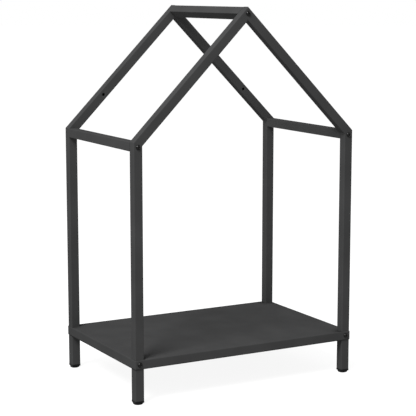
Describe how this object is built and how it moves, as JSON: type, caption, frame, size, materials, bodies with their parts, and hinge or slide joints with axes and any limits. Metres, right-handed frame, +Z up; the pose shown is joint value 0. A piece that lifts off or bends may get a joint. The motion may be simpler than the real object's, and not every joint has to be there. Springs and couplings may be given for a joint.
{
  "type": "firewood log rack",
  "caption": "House-shaped firewood rack: two square-tube gable frames joined by eave and ridge rails, with a folded sheet-metal shelf on short legs.",
  "frame": {"origin": "middle of the rack's footprint, on the floor under the soles of the feet", "axes": "+Z up towards the ridge; +X to the right for someone facing the front; -Y towards the front, +Y towards the wall behind"},
  "size_m": [0.5424, 0.362, 0.828],
  "materials": {
    "powder_coat": "matt anthracite powder coat with a fine texture",
    "black_screw": "black zinc, semi-gloss",
    "zinc_steel": "bright zinc plate",
    "foot_plastic": "moulded black plastic"
  },
  "bodies": {
    "root": {"front_left_post": "powder_coat", "front_right_post": "powder_coat", "rear_left_post": "powder_coat", "rear_right_post": "powder_coat", "front_left_rafter": "powder_coat", "front_right_rafter": "powder_coat", "rear_left_rafter": "powder_coat", "rear_right_rafter": "powder_coat", "left_eave_rail": "powder_coat", "right_eave_rail": "powder_coat", "ridge_rail": "powder_coat", "front_frame_welds": "powder_coat", "rear_frame_welds": "powder_coat", "shelf_tray": "powder_coat", "front_rail_nut_plates": "zinc_steel", "rear_rail_nut_plates": "zinc_steel", "front_shelf_inserts": "zinc_steel", "rear_shelf_inserts": "zinc_steel", "front_eave_screws": "black_screw", "rear_eave_screws": "black_screw", "front_ridge_screw": "black_screw", "rear_ridge_screw": "black_screw", "front_shelf_screws": "black_screw", "rear_shelf_screws": "black_screw", "front_left_foot": "foot_plastic", "front_right_foot": "foot_plastic", "rear_left_foot": "foot_plastic", "rear_right_foot": "foot_plastic"}
  },
  "joints": []
}
